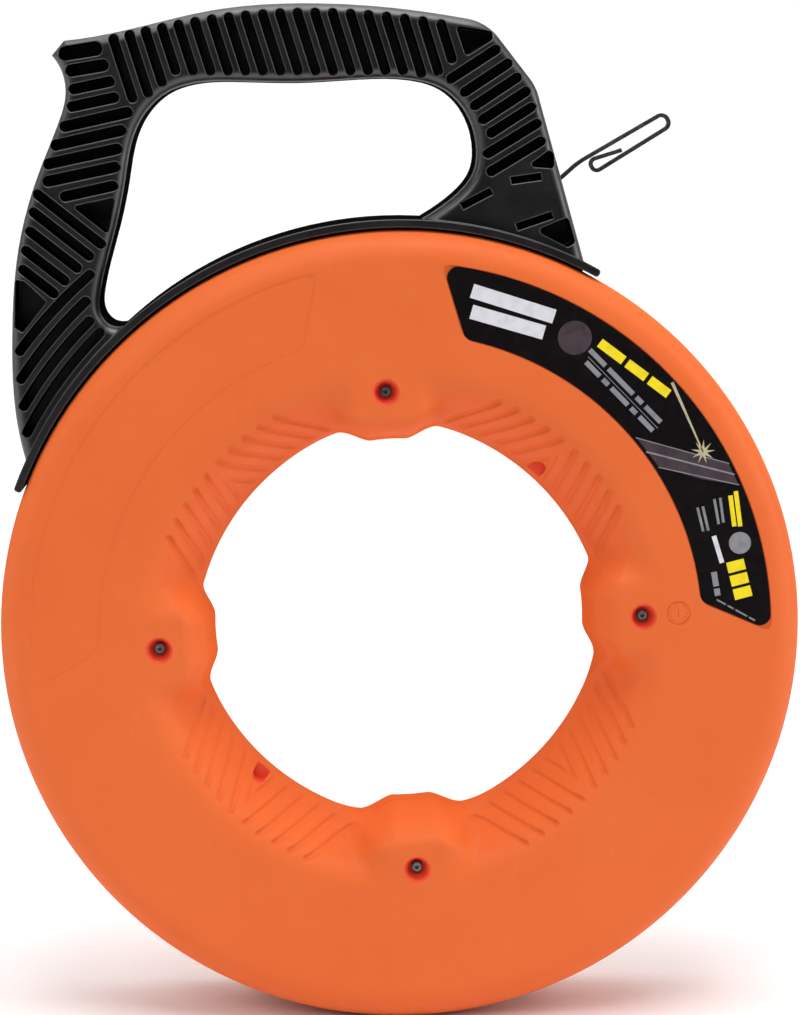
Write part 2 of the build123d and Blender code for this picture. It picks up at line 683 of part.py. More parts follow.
def handle():
    """The one-piece handle with its pockets, shoe and T-rail."""
    body = both_ways(handle_outline(), HANDLE_HALF)
    body -= both_ways(hand_outline(), HANDLE_HALF + 1)
    body = fillet(side_edges(body), HANDLE_ROUND)
    pockets = Sketch() + handle_pockets()
    body -= slab(pockets, WEB_HALF, HANDLE_HALF + 1)
    body -= slab(pockets, -HANDLE_HALF - 1, -WEB_HALF)
    shoe = both_ways(sector(SHOE_IN_R, SHOE_OUT_R, SHOE_FROM, SHOE_TO), SHOE_HALF)
    body += fillet(shoe.edges().filter_by(Axis.Y), 1.2)
    body -= both_ways(Circle(SHOE_IN_R), HANDLE_HALF + 1)
    for start, end in RAILS:
        body += both_ways(sector(RAIL_HEAD_OUT_R - 0.3, SHOE_IN_R + 0.5, start, end), RAIL_NECK_HALF)
        body += both_ways(sector(RAIL_HEAD_IN_R, RAIL_HEAD_OUT_R, start, end), RAIL_HEAD_HALF)
    rib = sector(HOLD_DOWN_R, SHOE_IN_R + 0.5, 83.5, RAILS[1][0] + 1)
    body += both_ways(rib, RAIL_NECK_HALF)
    body -= both_ways(guide_prism(FIT_GAP), GUIDE_HALF + FIT_GAP)
    body -= both_ways(Sketch() + snap_windows(), HANDLE_HALF + 1)
    return body - tape_channel()


def side_edges(body):
    """The edges round the handle's two faces, but not where they run into the shoe."""
    picked = []
    for face in (body.faces().sort_by(Axis.Y)[0], body.faces().sort_by(Axis.Y)[-1]):
        for edge in face.edges():
            middle = edge.center()
            if math.hypot(middle.X, middle.Z) > SHOE_OUT_R + 2:
                picked.append(edge)
    return picked


# ------------------------------------------------------------------------ all the parts
def parts():
    made = {
        "front_case_half": case_half(True),
        "rear_case_half": turned_over(case_half(False)),
        "front_label": label(),
        "rear_label": turned_over(label()),
        "tape_coil": tape_coil(),
        "anchor_pin": anchor_pin(),
        "tape_anchor": tape_anchor(),
        "handle": handle(),
        "nose_guide": nose_guide(),
        "tape_feed": tape_feed(),
        "tape_leader": tape_leader(),
    }
    for place, angle in SCREW_ANGLES.items():
        made["case_screw_" + place] = case_screw(angle)
    return made


os.makedirs("parts", exist_ok=True)
for name, part in parts().items():
    export_step(lifted(part), "parts/" + name + ".step")
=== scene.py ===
import math

import bmesh
import bpy
import numpy as np
from mathutils import Matrix, Vector


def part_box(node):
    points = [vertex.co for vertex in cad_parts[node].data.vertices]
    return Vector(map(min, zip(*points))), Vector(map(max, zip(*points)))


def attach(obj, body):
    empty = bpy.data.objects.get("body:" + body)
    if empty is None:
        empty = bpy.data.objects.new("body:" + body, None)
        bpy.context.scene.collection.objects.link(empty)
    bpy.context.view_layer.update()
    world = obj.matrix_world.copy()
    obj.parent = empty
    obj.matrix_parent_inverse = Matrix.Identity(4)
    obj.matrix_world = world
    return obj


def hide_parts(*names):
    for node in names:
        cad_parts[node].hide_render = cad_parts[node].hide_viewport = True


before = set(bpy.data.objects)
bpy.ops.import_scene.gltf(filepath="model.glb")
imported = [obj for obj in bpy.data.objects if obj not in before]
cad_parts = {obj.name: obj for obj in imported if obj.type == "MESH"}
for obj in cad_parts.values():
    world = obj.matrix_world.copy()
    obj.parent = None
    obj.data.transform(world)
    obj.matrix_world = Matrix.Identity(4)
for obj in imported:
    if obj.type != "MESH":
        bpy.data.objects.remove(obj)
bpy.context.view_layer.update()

MM = 0.001

# ---------------------------------------------------------------- sizes, in millimetres and degrees
case_low, case_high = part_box("front_case_half")
REEL_R = (case_high.x - case_low.x) / 2 / MM      # outside radius of the case
REEL_Z = (case_high.z + case_low.z) / 2 / MM      # height of the reel's axis
HALF_W = -case_low.y / MM                         # from the parting plane to the flat face
WALL = 2.5
RIM_CORNER = 11.5
SLOT_HALF = 2.0
SLOT_ROUND = 0.7         # rounded edge of the rim slot
PARTING = 0.05           # each half stops this far from the parting plane
FLANGE = 9.0             # width of the joining face round the opening
FLANGE_T = 3.5

TILT = 3.7               # how far the four lobes are turned from the axes
LOBE_R = 71.6            # opening's radius at a lobe, in the parting plane
SCALLOP_R = 77.4         # and at the ends of a scallop
SCALLOP_MID_R = 75.8     # and in a scallop's middle
LOBE_HALF = 5.0          # half angle of a lobe's inner edge
RAMP = 10.0              # angle over which the edge runs from lobe to scallop
CROWN = 12.0             # how far a lobe's edge curves back on its way to the face
LAND_HALF = 4.0          # depth of the grip slope's foot
GRIP_TOP_R = 94.5        # radius where the slope would meet the face
GRIP_ROUND = 13.0        # round between slope and face
LOBE_TOP_HALF = 16.0     # half width of a lobe where its flank would meet the face
LOBE_LEAN = 2.2          # drop of a lobe's flank for each millimetre across
LOBE_BLEND = 10.0        # how softly flank and slope run into each other
GRIP_OUT_R = 107.0       # the grips end inside this radius
GRIP_SLOPE = (HALF_W - LAND_HALF) / (GRIP_TOP_R - SCALLOP_R)

GROOVES = 5              # full grooves on each side of a chevron
GROOVE_START = 3.4       # from the chevron's middle line to the first full groove
GROOVE_APEX_R = 88.4     # where the two shorter grooves inside them meet
GROOVE_PITCH = 6.2
GROOVE_W = 2.7
GROOVE_DEPTH = 1.6
GROOVE_ANGLE = 23.5
GROOVE_OUTER_R = 95.2
GROOVE_CLEAR = 1.5       # plain edge between the opening and the grooves
GROOVE_FADE = 3.0        # over which they reach their depth

COLUMNS = 1200           # steps round the reel in the case's mesh
RIM_STEPS = 14
FLAT_RINGS = (140.0, 136.0, 130.0, 124.0, 118.0, 113.0, 109.5)
EDGE_STEP = 0.45         # distance between the rings of points over a grip
BACK_R = 97.0            # where the wall's inside turns from the grip to the face
BACK_DEPTH = 20.0
ROOF_R = 105.0
SCREW_R = 92.0
SCREW_ANGLES = (TILT, TILT + 90, TILT + 180, TILT + 270)
RECESS_DEPTH = 6.6
NOTCH_ANGLES = (48.5, 227.4)
NOTCH_R = 3.0
NOTCH_FLOOR = 2.6

LABEL_IN_R = 114.3
LABEL_OUT_R = 140.4
LABEL_FROM = 0.2
LABEL_TO = 83.8
LABEL_SLANT = 5.8
LABEL_CORNER = 4.0
PANEL_FROM = 103.0
PANEL_TO = 188.6
PANEL_DEPTH = 0.15
DIAL_AT = (105.4, 4.1)   # a moulder's date dial: radius and angle of its middle
DIAL_R = 4.5
RECESS_GAP = 0.35        # plain border between a label and its recess
LABEL_POCKET = 0.6       # depth of a label's recess
FILM_TOP = HALF_W - 0.1
INK_SUNK = 0.02          # how far the print reaches into the film
THIN_INK = 0.02          # heights of the print over the film, a step apart where one lies on another
INK = 0.04
THICK_INK = 0.05
GLOW_INK = 0.07

ABOVE = HALF_W + 1       # clear of the face, where cutters end
TINY = 1e-6


# ---------------------------------------------------------------- mesh helpers
def new_object(name, vertices, faces, material, smooth=True):
    """A mesh object from points in millimetres about the reel's axis."""
    points = np.asarray(vertices, float) * MM
    points[:, 2] += REEL_Z * MM
    mesh = bpy.data.meshes.new(name)
    mesh.from_pydata(points.tolist(), [], faces)
    mesh.materials.append(material)
    if smooth:
        mesh.shade_smooth()
    mesh.validate()
    thing = bpy.data.objects.new(name, mesh)
    bpy.context.scene.collection.objects.link(thing)
    return thing


def polar(radius, angle):
    """The point (x, z) at a radius and an angle about the reel's axis."""
    turn = math.radians(angle)
    return radius * math.cos(turn), radius * math.sin(turn)


def smooth_step(x):
    """Rises softly from 0 to 1 as x does."""
    x = np.clip(x, 0.0, 1.0)
    return x * x * (3 - 2 * x)


def softer(one, other, reach):
    """The smaller of two values, rounded where they cross."""
    near = np.clip(reach - np.abs(one - other), 0, None) / reach
    return np.minimum(one, other) - near ** 2 * reach / 4


def cut(thing, cutter):
    """Takes a cutter out of an object, and its materials with it."""
    step = thing.modifiers.new("cut", "BOOLEAN")
    step.operation = "DIFFERENCE"
    step.solver = "EXACT"
    step.object = cutter
    step.material_mode = "TRANSFER"
    bake(thing)
    bpy.data.objects.remove(cutter)


def bake(thing):
    """Turns an object's modifiers into its mesh."""
    graph = bpy.context.evaluated_depsgraph_get()
    mesh = bpy.data.meshes.new_from_object(thing.evaluated_get(graph))
    thing.modifiers.clear()
    old = thing.data
    thing.data = mesh
    bpy.data.meshes.remove(old)


# ---------------------------------------------------------------- shape of a case half
def across_lobe(angle):
    """Angle from the nearest lobe's middle, from -45 to 45."""
    return (angle - TILT + 45) % 90 - 45


def opening_radius(angle):
    """Radius of the lobed opening."""
    away = np.abs(across_lobe(angle))
    to_middle = (45 - away) / (45 - LOBE_HALF - RAMP)
    scallop = SCALLOP_MID_R + (SCALLOP_R - SCALLOP_MID_R) * to_middle ** 2
    return LOBE_R + (scallop - LOBE_R) * smooth_step((away - LOBE_HALF) / RAMP)


def slope_cut(inside):
    """How far the grip slope lies below the face, this far inside the line where they would meet."""
    reach = GRIP_ROUND * math.tan(math.atan(GRIP_SLOPE) / 2)
    bend = np.clip(inside + reach, 0, None)
    drop = GRIP_ROUND - np.sqrt(np.clip(GRIP_ROUND ** 2 - bend ** 2, 0, None))
    touch = reach + reach * math.cos(math.atan(GRIP_SLOPE))
    return np.where(bend < touch, drop, inside * GRIP_SLOPE)


def groove_depth(radius, angle):
    """Depth of the chevron grooves at a place on a grip."""
    turn = np.radians(across_lobe(angle + 45))
    out, across = radius * np.cos(turn), np.abs(radius * np.sin(turn))
    lean = math.radians(GROOVE_ANGLE)
    depth = np.zeros_like(out)
    starts = [(GROOVE_APEX_R, 0.0)]
    for number in range(GROOVES):
        beside = GROOVE_START + GROOVE_PITCH * number / math.cos(lean)
        starts.append((math.sqrt(GROOVE_OUTER_R ** 2 - beside ** 2), beside))
    for start_out, start_across in starts:
        along = (start_out - out) * math.cos(lean) + (across - start_across) * math.sin(lean)
        aside = (start_out - out) * math.sin(lean) - (across - start_across) * math.cos(lean)
        past = np.clip(-along, 0, None)
        distance = np.hypot(aside, past)
        wave = np.clip(distance / (GROOVE_W / 2), 0, 1)
        depth = np.maximum(depth, GROOVE_DEPTH * (1 - wave ** 2))
    fade = smooth_step((radius - opening_radius(angle) - GROOVE_CLEAR) / GROOVE_FADE)
    return depth * fade


def face_height(radius, angle):
    """Distance of the front surface from the parting plane."""
    across = radius * np.sin(np.radians(np.abs(across_lobe(angle))))
    flank = (across - LOBE_TOP_HALF) * LOBE_LEAN / GRIP_SLOPE
    height = HALF_W - slope_cut(softer(GRIP_TOP_R - radius, flank, LOBE_BLEND))
    short = np.clip(opening_radius(angle) + CROWN - radius, 0, CROWN) / CROWN
    return height * np.sqrt(1 - short ** 2) - groove_depth(radius, angle)


def case_rows(angles):
    """Rows of (radius, depth) round the wall's section, from the rim slot over the face and back inside."""
    rows = []
    level = np.ones_like(angles)

    def row(radius, depth):
        rows.append((radius * level, depth * level))

    # rim slot, rim and the round to the face
    row(REEL_R - WALL, SLOT_HALF)
    row(REEL_R - SLOT_ROUND, SLOT_HALF)
    row(REEL_R - 0.2, SLOT_HALF + 0.2)
    row(REEL_R, SLOT_HALF + SLOT_ROUND)
    corner = HALF_W - RIM_CORNER
    for part in (0.25, 0.5, 0.75):
        row(REEL_R, SLOT_HALF + (corner - SLOT_HALF) * part)
    for step in range(RIM_STEPS + 1):
        turn = math.pi / 2 * step / RIM_STEPS
        row(REEL_R - RIM_CORNER + RIM_CORNER * math.cos(turn), corner + RIM_CORNER * math.sin(turn))
    for radius in FLAT_RINGS:
        row(radius, HALF_W)
    # the grips and lobes, in rings that follow the opening closer the nearer they are to it
    edge = opening_radius(angles)
    offsets = [0.02, 0.08, 0.2, 0.4, 0.65, 0.95, 1.4, 1.9, 2.4]
    offsets += list(np.arange(2.85, 24.0, EDGE_STEP))
    offsets += [24.8, 25.8, 27.0]
    widest = offsets[-1]
    for offset in reversed(offsets):
        pull = (offset / widest) ** 4
        radius = (edge + offset) * (1 - pull) + (GRIP_OUT_R - 1.0) * pull
        rows.append((radius, face_height(radius, angles)))
    # the joining face with its small chamfer, and the inside of the wall
    row(edge, 0.25)
    row(edge + 0.35, PARTING)
    row(edge + FLANGE, PARTING)
    row(edge + FLANGE, FLANGE_T)
    row(BACK_R, BACK_DEPTH)
    row(ROOF_R, HALF_W - WALL)
    row(REEL_R - RIM_CORNER, HALF_W - WALL)
    for step in range(1, 4):
        turn = math.pi / 2 * (1 - step / 3)
        inside = RIM_CORNER - WALL
        row(REEL_R - RIM_CORNER + inside * math.cos(turn), corner + inside * math.sin(turn))
    return rows


def case_mesh(name, material):
    """The moulded front half as one closed shell."""
    angles = np.arange(COLUMNS) * 360.0 / COLUMNS
    rows = case_rows(angles)
    turn = np.radians(angles)
    vertices = []
    for radius, depth in rows:
        vertices.append(np.stack([radius * np.cos(turn), -depth, radius * np.sin(turn)], axis=1))
    vertices = np.concatenate(vertices)
    faces = []
    for one in range(len(rows)):
        other = (one + 1) % len(rows)
        for column in range(COLUMNS):
            after = (column + 1) % COLUMNS
            faces.append((
                one * COLUMNS + column, one * COLUMNS + after,
                other * COLUMNS + after, other * COLUMNS + column,
            ))
    return new_object(name, vertices, faces, material)


def revolved(name, at, points, material, steps=48):
    """A closed piece turned about an axis along Y, from (radius, depth) points."""
    vertices = []
    faces = []
    count = len(points)
    for step in range(steps):
        turn = 2 * math.pi * step / steps
        for radius, depth in points:
            vertices.append((at[0] + radius * math.cos(turn), -depth, at[1] + radius * math.sin(turn)))
    for step in range(steps):
        after = (step + 1) % steps
        for one in range(count):
            other = (one + 1) % count
            if points[one][0] > TINY or points[other][0] > TINY:
                faces.append((
                    step * count + one, after * count + one,
                    after * count + other, step * count + other,
                ))
    thing = new_object(name, vertices, faces, material, smooth=False)
    clean(thing)
    return thing


def clean(thing):
    """Welds an object's points and turns its faces outwards."""
    work = bmesh.new()
    work.from_mesh(thing.data)
    bmesh.ops.remove_doubles(work, verts=work.verts, dist=1e-7)
    bmesh.ops.dissolve_degenerate(work, edges=work.edges, dist=1e-8)
    bmesh.ops.recalc_face_normals(work, faces=work.faces)
    work.to_mesh(thing.data)
    work.free()


def prism(name, outline, near, far, material):
    """A flat outline of (x, z) points made solid between two depths."""
    count = len(outline)
    vertices = [(x, -near, z) for x, z in outline] + [(x, -far, z) for x, z in outline]
    faces = [tuple(range(count)), tuple(range(2 * count - 1, count - 1, -1))]
    for one in range(count):
        other = (one + 1) % count
        faces.append((one, one + count, other + count, other))
    thing = new_object(name, vertices, faces, material, smooth=False)
    clean(thing)
    return thing


def label_outline(grow, start, end):
    """The label's shape on the face, grown a little all round."""
    turn = math.degrees(grow / LABEL_IN_R)
    inner, outer = LABEL_IN_R - grow, LABEL_OUT_R + grow
    first, last = start - turn, end + turn
    steps = 60
    corners = []
    for step in range(steps + 1):
        corners.append(polar(outer, first + (last - first) * step / steps))
    for step in range(steps + 1):
        share = step / steps
        angle = last - LABEL_SLANT + (first + LABEL_SLANT - last + LABEL_SLANT) * share
        corners.append(polar(inner, angle))
    return rounded_ends(corners, (0, steps, steps + 1, 2 * steps + 1), LABEL_CORNER)


def rounded_ends(points, corners, radius, steps=8):
    """An outline whose corners at the given places are rounded."""
    made = []
    count = len(points)
    eaten = set()
    rounds = {}
    for corner in corners:
        at = Vector(points[corner])
        arms = []
        for direction in (-1, 1):
            place = corner
            walked = 0.0
            while walked < radius:
                after = (place + direction) % count
                walked += (Vector(points[after]) - Vector(points[place])).length
                place = after
                if place in corners:
                    break
                if walked < radius:
                    eaten.add(place)
            arms.append((Vector(points[place]) - at).normalized() * radius + at)
            if walked < radius * 1.3 and place not in corners:
                eaten.add(place)
        rounds[corner] = (at, arms)
    for number, point in enumerate(points):
        if number in rounds:
            at, (one, two) = rounds[number]
            for step in range(steps + 1):
                share = step / steps
                mix = one * (1 - share) ** 2 + at * 2 * share * (1 - share) + two * share ** 2
                made.append(tuple(mix))
        elif number not in eaten:
            made.append(tuple(point))
    return made


# ---------------------------------------------------------------- materials
def material(name, colour, roughness, metallic=0.0):
    """A new material and its node tree's shader."""
    made = bpy.data.materials.new(name)
    made.use_nodes = True
    shader = made.node_tree.nodes["Principled BSDF"]
    shader.inputs["Base Color"].default_value = (*colour, 1.0)
    shader.inputs["Roughness"].default_value = roughness
    shader.inputs["Metallic"].default_value = metallic
    return made, made.node_tree, shader


def noise(tree, scale, detail=3.0, stretch=(1, 1, 1)):
    """A noise over the object's own coordinates, in metres."""
    place = tree.nodes.new("ShaderNodeTexCoord")
    fit = tree.nodes.new("ShaderNodeMapping")
    fit.inputs["Scale"].default_value = stretch
    made = tree.nodes.new("ShaderNodeTexNoise")
    made.inputs["Scale"].default_value = scale
    made.inputs["Detail"].default_value = detail
    tree.links.new(place.outputs["Object"], fit.inputs["Vector"])
    tree.links.new(fit.outputs["Vector"], made.inputs["Vector"])
    return made.outputs["Fac"]


def ranged(tree, value, low, high, to_low, to_high):
    """A value moved from one range to another, and held within it."""
    made = tree.nodes.new("ShaderNodeMapRange")
    made.inputs["From Min"].default_value = low
    made.inputs["From Max"].default_value = high
    made.inputs["To Min"].default_value = to_low
    made.inputs["To Max"].default_value = to_high
    tree.links.new(value, made.inputs["Value"])
    return made.outputs["Result"]


def mixed(tree, share, one, other):
    """A colour between two, by a value."""
    made = tree.nodes.new("ShaderNodeMix")
    made.data_type = "RGBA"
    for socket, colour in ((made.inputs[6], one), (made.inputs[7], other)):
        if isinstance(colour, tuple):
            socket.default_value = (*colour, 1.0)
        else:
            tree.links.new(colour, socket)
    tree.links.new(share, made.inputs["Factor"])
    return made.outputs[2]


def clouded(tree, shader, share, one, other):
    """Gives the shader a base colour between two, by a value."""
    tree.links.new(mixed(tree, share, one, other), shader.inputs["Base Color"])


def uneven(tree, shader, scale, smoothest, roughest):
    """Gives the shader a roughness that wanders between two values."""
    wander = ranged(tree, noise(tree, scale), 0.3, 0.7, smoothest, roughest)
    tree.links.new(wander, shader.inputs["Roughness"])


def facing_front(tree, normal):
    """How squarely a normal points to the front or the rear, from 0 to 1."""
    split = tree.nodes.new("ShaderNodeSeparateXYZ")
    tree.links.new(normal, split.inputs["Vector"])
    return worked_out(tree, "ABSOLUTE", split.outputs["Y"])


def bumped(tree, shader, height, strength, distance):
    """A fine relief."""
    made = tree.nodes.new("ShaderNodeBump")
    made.inputs["Strength"].default_value = strength
    made.inputs["Distance"].default_value = distance
    tree.links.new(height, made.inputs["Height"])
    tree.links.new(made.outputs["Normal"], shader.inputs["Normal"])
    return made


def worked_out(tree, operation, one, other=None):
    """One step of arithmetic on one or two values."""
    made = tree.nodes.new("ShaderNodeMath")
    made.operation = operation
    tree.links.new(one, made.inputs[0])
    if other is not None:
        tree.links.new(other, made.inputs[1])
    return made.outputs["Value"]


def case_material():
    """Orange moulded plastic: a fine spark texture, cloudy colour and paler scuffs."""
    made, tree, shader = material("case_orange", (0.80, 0.155, 0.037), 0.5)
    surface = tree.nodes.new("ShaderNodeNewGeometry")
    facing = facing_front(tree, surface.outputs["Normal"])
    tree.links.new(ranged(tree, facing, 0.30, 0.80, 0.0, 0.15), shader.inputs["Specular IOR Level"])
    cloud = ranged(tree, noise(tree, 22.0, 4.0), 0.3, 0.7, 0.0, 1.0)
    colour = mixed(tree, cloud, (0.78, 0.146, 0.034), (0.81, 0.158, 0.038))
    scuffs = ranged(tree, noise(tree, 240.0, 5.0, (1, 1, 0.5)), 0.64, 0.80, 0.0, 0.18)
    clouded(tree, shader, scuffs, colour, (0.87, 0.24, 0.075))
    uneven(tree, shader, 60.0, 0.42, 0.54)
    bumped(tree, shader, noise(tree, 1600.0, 2.0), 0.10, 0.0002)
    return made


def painted_glow_recess_material():
    """The case's plastic in its narrow holes: a darker red as painted shade, and a faint emission as a
    painted glow for light that has passed through the plastic and bounced about inside.
    """
    made, tree, shader = material("case_recess_painted_glow", (0.70, 0.075, 0.030), 0.5)
    # painted glow: a faint red emission, though the plastic here is no lamp
    shader.inputs["Emission Color"].default_value = (0.50, 0.030, 0.018, 1.0)
    shader.inputs["Emission Strength"].default_value = 0.20
    shader.inputs["Specular IOR Level"].default_value = 0.2
    cloud = ranged(tree, noise(tree, 90.0, 3.0), 0.3, 0.7, 0.0, 1.0)
    clouded(tree, shader, cloud, (0.66, 0.065, 0.026), (0.74, 0.090, 0.034))
    uneven(tree, shader, 200.0, 0.44, 0.56)
    bumped(tree, shader, noise(tree, 1600.0, 2.0), 0.10, 0.0002)
    return made


def handle_material():
    """Black moulded plastic: glossy where it is rounded, duller on flats, and matt on drawn walls."""
    made, tree, shader = material("handle_black", (0.006, 0.0055, 0.0058), 0.35)
    soft = tree.nodes.new("ShaderNodeBevel")
    soft.samples = 8
    soft.inputs["Radius"].default_value = 0.0009
    facing = facing_front(tree, soft.outputs["Normal"])
    drawn = ranged(tree, facing, 0.10, 0.42, 0.0, 1.0)
    flat = ranged(tree, facing, 0.93, 0.995, 1.0, 0.42)
    tree.links.new(worked_out(tree, "MULTIPLY", drawn, flat), shader.inputs["Specular IOR Level"])
    cloud = ranged(tree, noise(tree, 35.0, 4.0), 0.35, 0.70, 0.0, 1.0)
    colour = mixed(tree, cloud, (0.0040, 0.0034, 0.0037), (0.0080, 0.0072, 0.0076))
    scuffs = ranged(tree, noise(tree, 420.0, 6.0, (0.5, 1, 1)), 0.62, 0.80, 0.0, 0.5)
    clouded(tree, shader, scuffs, colour, (0.030, 0.028, 0.029))
    uneven(tree, shader, 90.0, 0.30, 0.42)
    relief = bumped(tree, shader, noise(tree, 900.0, 3.0), 0.08, 0.0002)
    tree.links.new(soft.outputs["Normal"], relief.inputs["Normal"])
    return made


def guide_material():
    """Black plastic of the insert in the nose, nearly matt."""
    made, tree, shader = material("guide_black", (0.002, 0.002, 0.0022), 0.6)
    shader.inputs["Specular IOR Level"].default_value = 0.08
    cloud = ranged(tree, noise(tree, 120.0, 3.0), 0.3, 0.7, 0.0, 1.0)
    clouded(tree, shader, cloud, (0.0016, 0.0016, 0.0018), (0.003, 0.003, 0.0032))
    uneven(tree, shader, 200.0, 0.55, 0.70)
    bumped(tree, shader, noise(tree, 1500.0), 0.1, 0.0002)
    return made


def film_material(name, colour, paler, roughness=0.32):
    """Printed label film, with fine handling marks."""
    made, tree, shader = material(name, colour, roughness)
    shader.inputs["Specular IOR Level"].default_value = 0.05
    cloud = ranged(tree, noise(tree, 300.0, 5.0), 0.45, 0.75, 0.0, 1.0)
    clouded(tree, shader, cloud, colour, paler)
    uneven(tree, shader, 80.0, roughness - 0.05, roughness + 0.08)
    bumped(tree, shader, noise(tree, 700.0), 0.03, 0.0002)
    return made


def steel_material(name, dark, light, roughness, stretch):
    """Drawn or turned steel, streaked along its length."""
    made, tree, shader = material(name, dark, roughness, 0.9)
    streaks = ranged(tree, noise(tree, 900.0, 4.0, stretch), 0.35, 0.65, 0.0, 1.0)
    clouded(tree, shader, streaks, dark, light)
    uneven(tree, shader, 300.0, roughness - 0.08, roughness + 0.1)
    bumped(tree, shader, noise(tree, 2500.0, 2.0, stretch), 0.08, 0.0001)
    return made


def stage_material():
    """Pale paper, darker far in front of the object so that black plastic doesn't mirror it."""
    made, tree, shader = material("paper", (0.93, 0.93, 0.93), 0.9)
    shader.inputs["Specular IOR Level"].default_value = 0.1
    grain = ranged(tree, noise(tree, 5.0), 0.3, 0.7, 0.0, 1.0)
    paper = mixed(tree, grain, (0.92, 0.92, 0.92), (0.94, 0.94, 0.94))
    place = tree.nodes.new("ShaderNodeTexCoord")
    split = tree.nodes.new("ShaderNodeSeparateXYZ")
    tree.links.new(place.outputs["Object"], split.inputs["Vector"])
    near = ranged(tree, split.outputs["Y"], -1.5, -0.5, 0.0, 1.0)
    clouded(tree, shader, near, (0.30, 0.30, 0.30), paper)
    return made


# ---------------------------------------------------------------- camera, lights, floor
def camera():
    data = bpy.data.cameras.new("camera")
    thing = bpy.data.objects.new("camera", data)
    bpy.context.scene.collection.objects.link(thing)
    data.sensor_width = 36.0
    data.lens = 101.9
    data.clip_start = 0.05
    data.clip_end = 20.0
    thing.location = (-0.0327, -1.1028, 0.1945 + REEL_Z * MM)
    thing.rotation_euler = (math.radians(90 - 7.76), 0.0, math.radians(-1.71))
    bpy.context.scene.camera = thing


def area_light(name, place, target, size, power, size_y=None):
    data = bpy.data.lights.new(name, "AREA")
    data.shape = "RECTANGLE"
    data.size = size
    data.size_y = size_y or size
    data.energy = power
    thing = bpy.data.objects.new(name, data)
    thing.location = place
    thing.rotation_euler = (Vector(target) - Vector(place)).to_track_quat("-Z", "Y").to_euler()
    bpy.context.scene.collection.objects.link(thing)
    return thing


def studio():
    middle = (0.0, 0.0, REEL_Z * MM)
    area_light("key", (-0.8, -1.7, 1.5), middle, 1.2, 11.5)
    area_light("side", (1.7, -0.5, 0.7), middle, 0.8, 12.5, 1.6)
    area_light("left", (-1.7, -0.2, 0.6), middle, 0.8, 4.5, 1.6)
    area_light("top", (0.1, -0.7, 1.9), middle, 1.0, 15.0)
    area_light("backdrop", (0.0, 0.5, 2.2), (0.0, 1.8, 0.6), 2.2, 30.0)
    world = bpy.data.worlds.new("world")
    bpy.context.scene.world = world
    world.use_nodes = True
    tree = world.node_tree
    back = tree.nodes["Background"]
    back.inputs["Color"].default_value = (1.0, 1.0, 1.0, 1.0)
    place = tree.nodes.new("ShaderNodeTexCoord")
    split = tree.nodes.new("ShaderNodeSeparateXYZ")
    tree.links.new(place.outputs["Generated"], split.inputs["Vector"])
    tree.links.new(ranged(tree, split.outputs["Y"], -0.95, 0.1, 0.05, 0.45), back.inputs["Strength"])
    bpy.context.scene.view_settings.view_transform = "Standard"


def paper_sweep():
    """A pale floor that curves up behind the object."""
    reach = 3.0
    bend_at = 1.0
    bend_r = 0.8
    top = 3.2
    profile = [(-reach, 0.0), (-1.0, 0.0), (0.4, 0.0), (bend_at, 0.0)]
    for step in range(1, 13):
        turn = math.pi / 2 * step / 12
        profile.append((bend_at + bend_r * math.sin(turn), bend_r - bend_r * math.cos(turn)))
    profile.append((bend_at + bend_r, top))
    vertices = []
    for side in (-reach, reach):
        vertices += [(side, y, z) for y, z in profile]
    count = len(profile)
    faces = [(one, one + count, one + count + 1, one + 1) for one in range(count - 1)]
    mesh = bpy.data.meshes.new("floor")
    mesh.from_pydata(vertices, [], faces)
    mesh.materials.append(stage_material())
    mesh.shade_smooth()
    thing = bpy.data.objects.new("floor", mesh)
    bpy.context.scene.collection.objects.link(thing)


# ---------------------------------------------------------------- the case
def screw_recess(at, painted_glow_red):
    """The cutter of a dished screw recess with a rounded mouth."""
    mouth = [(5.2, 0.02), (4.75, 0.22), (4.35, 0.75), (4.15, 1.4), (2.75, RECESS_DEPTH), (0.0, RECESS_DEPTH)]
    points = [(0.0, ABOVE), (5.3, ABOVE)] + [(radius, HALF_W - depth) for radius, depth in mouth]
    return revolved("recess", at, points, painted_glow_red, 64)


def notch_outline(angle):
    """A round-ended notch that points away from the reel's axis."""
    middle_x, middle_z = polar(SCALLOP_R + 1.3, angle)
    turn = math.radians(angle)
    points = []
    for step in range(25):
        bend = -math.pi / 2 + math.pi * step / 24
        points.append((1.5 + NOTCH_R * math.cos(bend), NOTCH_R * math.sin(bend)))
    points += [(-9.0, NOTCH_R), (-9.0, -NOTCH_R)]
    made = []
    for out, side in points:
        made.append((
            middle_x + out * math.cos(turn) - side * math.sin(turn),
            middle_z + out * math.sin(turn) + side * math.cos(turn),
        ))
    return made


def circle_outline(at, radius, steps=48):
    """A circle on the face, as (x, z) points."""
    made = []
    for step in range(steps):
        x, z = polar(radius, 360 * step / steps)
        made.append((at[0] + x, at[1] + z))
    return made


def joined(name, things):
    """Several objects as one mesh."""
    work = bmesh.new()
    finishes = []
    for thing in things:
        finish = thing.data.materials[0]
        if finish not in finishes:
            finishes.append(finish)
        already = len(work.faces)
        work.from_mesh(thing.data)
        work.faces.ensure_lookup_table()
        for face in work.faces[already:]:
            face.material_index = finishes.index(finish)
    mesh = bpy.data.meshes.new(name)
    work.to_mesh(mesh)
    work.free()
    for finish in finishes:
        mesh.materials.append(finish)
    for thing in things:
        bpy.data.objects.remove(thing)
    made = bpy.data.objects.new(name, mesh)
    bpy.context.scene.collection.objects.link(made)
    return made


